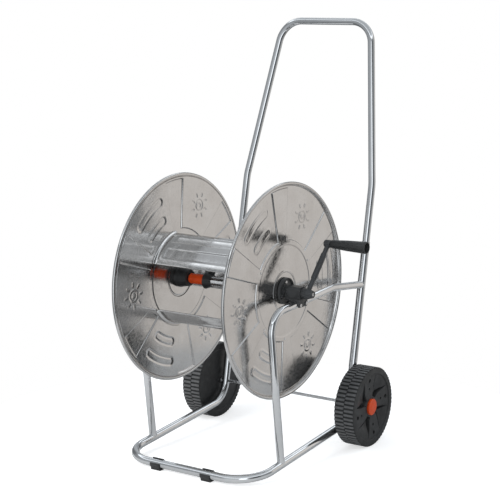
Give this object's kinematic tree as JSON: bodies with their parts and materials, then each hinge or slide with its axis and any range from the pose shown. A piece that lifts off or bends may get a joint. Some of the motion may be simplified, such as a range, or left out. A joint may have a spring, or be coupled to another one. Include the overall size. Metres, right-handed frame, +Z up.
{
  "type": "garden hose reel cart",
  "caption": "Two-wheeled steel tube cart that carries a hose reel: two stamped discs on a drum, turned by a side crank with a hand grip, with a push handle and a water inlet.",
  "frame": {"origin": "bottom centre of the cart's box, on the floor", "axes": "+X towards the crank side along the reel's and the wheels' axles, +Y to the rear towards the push handle, +Z up"},
  "size_m": [0.5748, 0.696, 1.0515],
  "materials": {
    "zinc_tube": "bright zinc-plated tube",
    "reel_sheet": "galvanised, semi-bright",
    "bright_steel": "zinc plated",
    "black_plastic": "fine moulded grain",
    "orange_plastic": "semi-gloss",
    "seal_rubber": "matt"
  },
  "bodies": {
    "frame": {"lower_frame": "zinc_tube", "push_handle": "zinc_tube", "handle_rivets": "bright_steel", "support_right": "zinc_tube", "support_left": "zinc_tube", "foot_clip_left": "black_plastic", "foot_clip_right": "black_plastic", "axle_rod": "bright_steel", "axle_spacers": "bright_steel", "axle_push_nut_right": "bright_steel", "axle_push_nut_left": "bright_steel", "bearing_block_right": "black_plastic", "bearing_block_left": "black_plastic", "block_screws_right": "bright_steel", "block_screws_left": "bright_steel", "block_nuts_right": "bright_steel", "block_nuts_left": "bright_steel", "inlet_elbow": "black_plastic", "inlet_o_rings": "seal_rubber", "inlet_screws": "bright_steel"},
    "reel": {"flange_left": "reel_sheet", "flange_right": "reel_sheet", "drum_sheet_upper": "reel_sheet", "drum_sheet_lower": "reel_sheet", "drum_sheet_rear": "reel_sheet", "drum_rivets": "bright_steel", "hub_cup_right": "black_plastic", "hub_cup_left": "black_plastic", "manifold": "black_plastic", "shaft_socket": "black_plastic", "hub_screws_right": "bright_steel", "hub_screws_left": "bright_steel", "reel_shaft": "bright_steel", "outlet_elbow": "black_plastic", "connector_body": "black_plastic", "connector_spring": "bright_steel", "crank_arm": "bright_steel", "crank_screw": "bright_steel", "grip_washer": "bright_steel", "grip_screw": "bright_steel"},
    "crank_grip": {"grip": "black_plastic"},
    "release_sleeve": {"connector_sleeve": "orange_plastic"},
    "wheel_right": {"wheel_outer_right": "black_plastic", "wheel_inner_right": "black_plastic", "hub_cap_right": "orange_plastic"},
    "wheel_left": {"wheel_outer_left": "black_plastic", "wheel_inner_left": "black_plastic", "hub_cap_left": "orange_plastic"}
  },
  "joints": [
    {"name": "reel_spin", "type": "hinge", "parent": "frame", "child": "reel", "pos_m": [-0.02855, -0.0905, 0.424], "axis": [1, 0, 0], "continuous": true},
    {"name": "grip_spin", "type": "hinge", "parent": "reel", "child": "crank_grip", "pos_m": [0.23845, 0.00385, 0.52878], "axis": [1, 0, 0], "continuous": true},
    {"name": "wheel_right_spin", "type": "hinge", "parent": "frame", "child": "wheel_right", "pos_m": [0.20245, 0.14841, 0.1], "axis": [1, 0, 0], "continuous": true},
    {"name": "wheel_left_spin", "type": "hinge", "parent": "frame", "child": "wheel_left", "pos_m": [-0.25955, 0.14841, 0.1], "axis": [1, 0, 0], "continuous": true},
    {"name": "release_sleeve_slide", "type": "slide", "parent": "reel", "child": "release_sleeve", "axis": [1, 0, 0], "range_m": [0, 0.004], "stiffness_N_per_m": 1000, "springref_m": -0.002}
  ]
}
